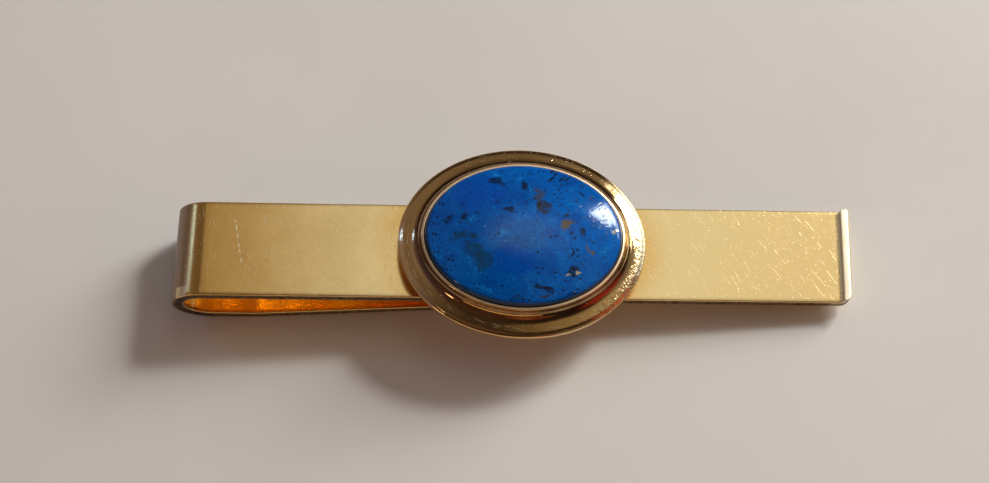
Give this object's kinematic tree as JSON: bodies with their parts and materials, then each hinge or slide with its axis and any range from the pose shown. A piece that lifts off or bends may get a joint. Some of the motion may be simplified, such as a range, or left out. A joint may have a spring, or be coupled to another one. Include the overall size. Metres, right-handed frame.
{
  "type": "tie bar",
  "caption": "Folding tie bar: a flat gold strip bent back into a spring leg, with an upturned lip and an oval blue stone in a raised coved frame.",
  "frame": {"origin": "bottom centre of the bounding box: the middle of the bar's length and of the setting's width, level with the fold's underside", "axes": "+X along the bar towards its open end, +Y across the bar, +Z out of the front face"},
  "size_m": [0.055, 0.0162, 0.01],
  "materials": {
    "satin_gold_strip": "satin gold with fine scratches and pits",
    "polished_gold": "mirror polished gold with file marks",
    "gold_solder": "dull solder",
    "stone_cement": "matt cement",
    "lapis": "polished blue stone with pyrite flecks and dark veins"
  },
  "bodies": {
    "back_leg": {"spring_leg": "satin_gold_strip"},
    "front": {"front_bar": "satin_gold_strip", "mounting_pad": "polished_gold", "pad_solder_seam": "gold_solder", "back_plate": "polished_gold", "coved_frame": "polished_gold", "bezel_band": "polished_gold", "stone_bed": "stone_cement", "lapis_cabochon": "lapis"}
  },
  "joints": [
    {"name": "fold_flex", "type": "hinge", "parent": "back_leg", "child": "front", "pos_m": [-0.0275, -0.0002, 0.00305], "axis": [0, -1, 0], "range_deg": [0, 6.5], "stiffness_Nm_per_rad": 1.5}
  ]
}
